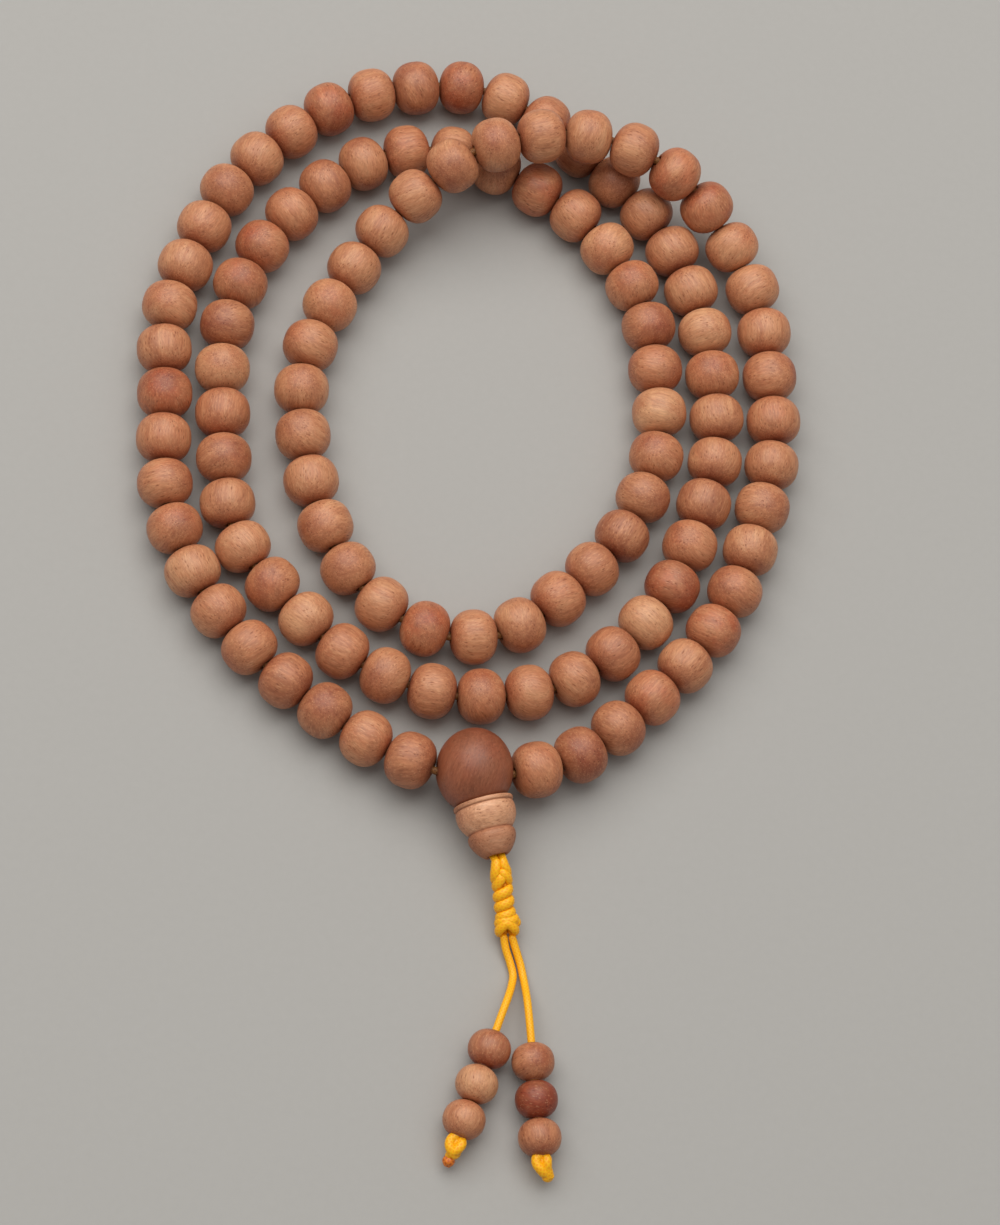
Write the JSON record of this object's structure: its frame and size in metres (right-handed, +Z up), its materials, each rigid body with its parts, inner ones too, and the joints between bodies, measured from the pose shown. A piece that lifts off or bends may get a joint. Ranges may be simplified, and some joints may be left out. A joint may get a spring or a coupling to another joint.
{
  "type": "mala prayer beads",
  "caption": "Strand of round wooden prayer beads lying in three turns, with a large guru bead, a turned cap bead, a braided knot and two counter cords with small beads.",
  "frame": {"origin": "centre of the base of the strand and tail knot, on the table", "axes": "+Z up from the table, -Y along the tail towards the counter beads, +X to the right of the tail"},
  "size_m": [0.0979, 0.1701, 0.0161],
  "materials": {
    "bead_wood": "satin, lightly worn",
    "guru_wood": "satin, darker red-brown",
    "stupa_wood": "satin, lighter turned wood",
    "counter_wood": "satin",
    "cord_nylon": "glossy twisted nylon"
  },
  "bodies": {
    "strand": {"main_string": "cord_nylon", "guru_bead": "guru_wood", "beads_001_009": "bead_wood", "beads_010_018": "bead_wood", "beads_019_027": "bead_wood", "beads_028_036": "bead_wood", "beads_037_045": "bead_wood", "beads_046_054": "bead_wood", "beads_055_063": "bead_wood", "beads_064_072": "bead_wood"},
    "stupa": {"stupa_bead": "stupa_wood"},
    "braid": {"snake_knot": "cord_nylon"},
    "counter_left": {"counter_cord_left": "cord_nylon", "end_knot_left": "cord_nylon"},
    "counter_right": {"counter_cord_right": "cord_nylon", "end_knot_right": "cord_nylon"},
    "bead_left_3": {"counter_bead_left_3": "counter_wood"},
    "bead_left_2": {"counter_bead_left_2": "counter_wood"},
    "bead_left_1": {"counter_bead_left_1": "counter_wood"},
    "bead_right_3": {"counter_bead_right_3": "counter_wood"},
    "bead_right_2": {"counter_bead_right_2": "counter_wood"},
    "bead_right_1": {"counter_bead_right_1": "counter_wood"},
    "bead_073": {"bead_073": "bead_wood"},
    "bead_074": {"bead_074": "bead_wood"},
    "bead_075": {"bead_075": "bead_wood"},
    "bead_076": {"bead_076": "bead_wood"},
    "bead_077": {"bead_077": "bead_wood"},
    "bead_078": {"bead_078": "bead_wood"},
    "bead_079": {"bead_079": "bead_wood"},
    "bead_080": {"bead_080": "bead_wood"},
    "bead_081": {"bead_081": "bead_wood"},
    "bead_082": {"bead_082": "bead_wood"},
    "bead_083": {"bead_083": "bead_wood"},
    "bead_084": {"bead_084": "bead_wood"},
    "bead_085": {"bead_085": "bead_wood"},
    "bead_086": {"bead_086": "bead_wood"},
    "bead_087": {"bead_087": "bead_wood"},
    "bead_088": {"bead_088": "bead_wood"},
    "bead_089": {"bead_089": "bead_wood"},
    "bead_090": {"bead_090": "bead_wood"},
    "bead_091": {"bead_091": "bead_wood"},
    "bead_092": {"bead_092": "bead_wood"},
    "bead_093": {"bead_093": "bead_wood"},
    "bead_094": {"bead_094": "bead_wood"},
    "bead_095": {"bead_095": "bead_wood"},
    "bead_096": {"bead_096": "bead_wood"},
    "bead_097": {"bead_097": "bead_wood"},
    "bead_098": {"bead_098": "bead_wood"},
    "bead_099": {"bead_099": "bead_wood"},
    "bead_100": {"bead_100": "bead_wood"},
    "bead_101": {"bead_101": "bead_wood"},
    "bead_102": {"bead_102": "bead_wood"},
    "bead_103": {"bead_103": "bead_wood"},
    "bead_104": {"bead_104": "bead_wood"},
    "bead_105": {"bead_105": "bead_wood"},
    "bead_106": {"bead_106": "bead_wood"},
    "bead_107": {"bead_107": "bead_wood"},
    "bead_108": {"bead_108": "bead_wood"}
  },
  "joints": [
    {"name": "braid_swing", "type": "hinge", "parent": "strand", "child": "braid", "pos_m": [0.00424, -0.05856, 0.00502], "axis": [0, 0, 1], "range_deg": [-45, 45]},
    {"name": "cap_bead_turn", "type": "hinge", "parent": "strand", "child": "stupa", "pos_m": [0.0005, -0.045, 0.006], "axis": [0.2649, -0.9617, -0.0698], "continuous": true},
    {"name": "counter_left_swing", "type": "hinge", "parent": "braid", "child": "counter_left", "pos_m": [0.0053, -0.0676, 0.0015], "axis": [0, 0, -1], "range_deg": [0, 40]},
    {"name": "counter_left_slide_3", "type": "slide", "parent": "counter_left", "child": "bead_left_3", "axis": [0.3304, 0.9439, 0], "range_m": [0, 0.0009]},
    {"name": "counter_left_slide_2", "type": "slide", "parent": "bead_left_3", "child": "bead_left_2", "axis": [0.3304, 0.9439, 0], "range_m": [0, 0.0009]},
    {"name": "counter_left_slide_1", "type": "slide", "parent": "bead_left_2", "child": "bead_left_1", "axis": [0.3304, 0.9439, 0], "range_m": [0, 0.0009]},
    {"name": "counter_right_swing", "type": "hinge", "parent": "braid", "child": "counter_right", "pos_m": [0.0065, -0.0676, 0.0015], "axis": [0, 0, 1], "range_deg": [0, 40]},
    {"name": "counter_right_slide_3", "type": "slide", "parent": "counter_right", "child": "bead_right_3", "axis": [-0.0847, 0.9964, 0], "range_m": [0, 0.0012]},
    {"name": "counter_right_slide_2", "type": "slide", "parent": "bead_right_3", "child": "bead_right_2", "axis": [-0.0847, 0.9964, 0], "range_m": [0, 0.0012]},
    {"name": "counter_right_slide_1", "type": "slide", "parent": "bead_right_2", "child": "bead_right_1", "axis": [-0.0847, 0.9964, 0], "range_m": [0, 0.0012]},
    {"name": "spin_bead_073", "type": "hinge", "parent": "strand", "child": "bead_073", "pos_m": [0.00723, -0.02232, 0.00403], "axis": [-0.8564, -0.5163, 0], "continuous": true},
    {"name": "spin_bead_074", "type": "hinge", "parent": "strand", "child": "bead_074", "pos_m": [0.0006, -0.02447, 0.00403], "axis": [-0.9963, -0.086, 0], "continuous": true},
    {"name": "spin_bead_075", "type": "hinge", "parent": "strand", "child": "bead_075", "pos_m": [-0.00636, -0.0236, 0.00403], "axis": [-0.944, 0.33, 0], "continuous": true},
    {"name": "spin_bead_076", "type": "hinge", "parent": "strand", "child": "bead_076", "pos_m": [-0.01262, -0.02022, 0.00403], "axis": [-0.7951, 0.6064, 0], "continuous": true},
    {"name": "spin_bead_077", "type": "hinge", "parent": "strand", "child": "bead_077", "pos_m": [-0.01749, -0.01506, 0.00403], "axis": [-0.5581, 0.8298, 0], "continuous": true},
    {"name": "spin_bead_078", "type": "hinge", "parent": "strand", "child": "bead_078", "pos_m": [-0.02083, -0.00873, 0.00403], "axis": [-0.3722, 0.9281, 0], "continuous": true},
    {"name": "spin_bead_079", "type": "hinge", "parent": "strand", "child": "bead_079", "pos_m": [-0.02302, -0.00186, 0.00403], "axis": [-0.2318, 0.9728, 0], "continuous": true},
    {"name": "spin_bead_080", "type": "hinge", "parent": "strand", "child": "bead_080", "pos_m": [-0.02433, 0.00523, 0.00403], "axis": [-0.1327, 0.9912, 0], "continuous": true},
    {"name": "spin_bead_081", "type": "hinge", "parent": "strand", "child": "bead_081", "pos_m": [-0.02469, 0.01241, 0.00403], "axis": [0.0345, 0.9994, 0], "continuous": true},
    {"name": "spin_bead_082", "type": "hinge", "parent": "strand", "child": "bead_082", "pos_m": [-0.02354, 0.01947, 0.00403], "axis": [0.2828, 0.9592, -0.0009], "continuous": true},
    {"name": "spin_bead_083", "type": "hinge", "parent": "strand", "child": "bead_083", "pos_m": [-0.02082, 0.02611, 0.00404], "axis": [0.4719, 0.8817, 0.0049], "continuous": true},
    {"name": "spin_bead_084", "type": "hinge", "parent": "strand", "child": "bead_084", "pos_m": [-0.01731, 0.03242, 0.00414], "axis": [0.5001, 0.8656, 0.0235], "continuous": true},
    {"name": "spin_bead_085", "type": "hinge", "parent": "strand", "child": "bead_085", "pos_m": [-0.01336, 0.03832, 0.00497], "axis": [0.5983, 0.7739, 0.2077], "continuous": true},
    {"name": "spin_bead_086", "type": "hinge", "parent": "strand", "child": "bead_086", "pos_m": [-0.00876, 0.04324, 0.00725], "axis": [0.6823, 0.5955, 0.4241], "continuous": true},
    {"name": "spin_bead_087", "type": "hinge", "parent": "strand", "child": "bead_087", "pos_m": [-0.00355, 0.04717, 0.01031], "axis": [0.7606, 0.4924, 0.4232], "continuous": true},
    {"name": "spin_bead_088", "type": "hinge", "parent": "strand", "child": "bead_088", "pos_m": [0.00254, 0.05016, 0.01201], "axis": [0.9392, 0.3396, 0.0499], "continuous": true},
    {"name": "spin_bead_089", "type": "hinge", "parent": "strand", "child": "bead_089", "pos_m": [0.00942, 0.05212, 0.0121], "axis": [0.9777, 0.2089, -0.0234], "continuous": true},
    {"name": "spin_bead_090", "type": "hinge", "parent": "strand", "child": "bead_090", "pos_m": [0.01654, 0.05263, 0.01202], "axis": [0.9978, -0.0664, 0.0013], "continuous": true},
    {"name": "spin_bead_091", "type": "hinge", "parent": "strand", "child": "bead_091", "pos_m": [0.02341, 0.05094, 0.01213], "axis": [0.9135, -0.4059, 0.0271], "continuous": true},
    {"name": "spin_bead_092", "type": "hinge", "parent": "strand", "child": "bead_092", "pos_m": [0.02968, 0.04797, 0.01096], "axis": [0.8351, -0.4216, -0.3533], "continuous": true},
    {"name": "spin_bead_093", "type": "hinge", "parent": "strand", "child": "bead_093", "pos_m": [0.03505, 0.04437, 0.008], "axis": [0.6617, -0.5818, -0.4729], "continuous": true},
    {"name": "spin_bead_094", "type": "hinge", "parent": "strand", "child": "bead_094", "pos_m": [0.03936, 0.0394, 0.00535], "axis": [0.5376, -0.8007, -0.2644], "continuous": true},
    {"name": "spin_bead_095", "type": "hinge", "parent": "strand", "child": "bead_095", "pos_m": [0.04257, 0.03317, 0.00421], "axis": [0.3552, -0.9333, -0.0532], "continuous": true},
    {"name": "spin_bead_096", "type": "hinge", "parent": "strand", "child": "bead_096", "pos_m": [0.04421, 0.02622, 0.00402], "axis": [0.0997, -0.995, 0.0013], "continuous": true},
    {"name": "spin_bead_097", "type": "hinge", "parent": "strand", "child": "bead_097", "pos_m": [0.04483, 0.01903, 0.00403], "axis": [0.0725, -0.9974, 0.0007], "continuous": true},
    {"name": "spin_bead_098", "type": "hinge", "parent": "strand", "child": "bead_098", "pos_m": [0.04522, 0.01183, 0.00403], "axis": [0.0373, -0.9993, 0], "continuous": true},
    {"name": "spin_bead_099", "type": "hinge", "parent": "strand", "child": "bead_099", "pos_m": [0.04473, 0.00477, 0.00403], "axis": [-0.1796, -0.9837, 0], "continuous": true},
    {"name": "spin_bead_100", "type": "hinge", "parent": "strand", "child": "bead_100", "pos_m": [0.04314, -0.00207, 0.00403], "axis": [-0.2708, -0.9626, 0], "continuous": true},
    {"name": "spin_bead_101", "type": "hinge", "parent": "strand", "child": "bead_101", "pos_m": [0.04118, -0.00883, 0.00403], "axis": [-0.2871, -0.9579, 0], "continuous": true},
    {"name": "spin_bead_102", "type": "hinge", "parent": "strand", "child": "bead_102", "pos_m": [0.03873, -0.01541, 0.00403], "axis": [-0.41, -0.9121, 0], "continuous": true},
    {"name": "spin_bead_103", "type": "hinge", "parent": "strand", "child": "bead_103", "pos_m": [0.03543, -0.02161, 0.00403], "axis": [-0.5281, -0.8492, 0], "continuous": true},
    {"name": "spin_bead_104", "type": "hinge", "parent": "strand", "child": "bead_104", "pos_m": [0.03121, -0.02719, 0.00403], "axis": [-0.6719, -0.7406, -0.0008], "continuous": true},
    {"name": "spin_bead_105", "type": "hinge", "parent": "strand", "child": "bead_105", "pos_m": [0.02635, -0.03226, 0.00404], "axis": [-0.7122, -0.702, 0.0055], "continuous": true},
    {"name": "spin_bead_106", "type": "hinge", "parent": "strand", "child": "bead_106", "pos_m": [0.02131, -0.03714, 0.00412], "axis": [-0.7242, -0.6894, 0.0174], "continuous": true},
    {"name": "spin_bead_107", "type": "hinge", "parent": "strand", "child": "bead_107", "pos_m": [0.0158, -0.04145, 0.00435], "axis": [-0.8422, -0.537, 0.0479], "continuous": true},
    {"name": "spin_bead_108", "type": "hinge", "parent": "strand", "child": "bead_108", "pos_m": [0.00952, -0.04417, 0.00509], "axis": [-0.9573, -0.2389, 0.1626], "continuous": true}
  ]
}
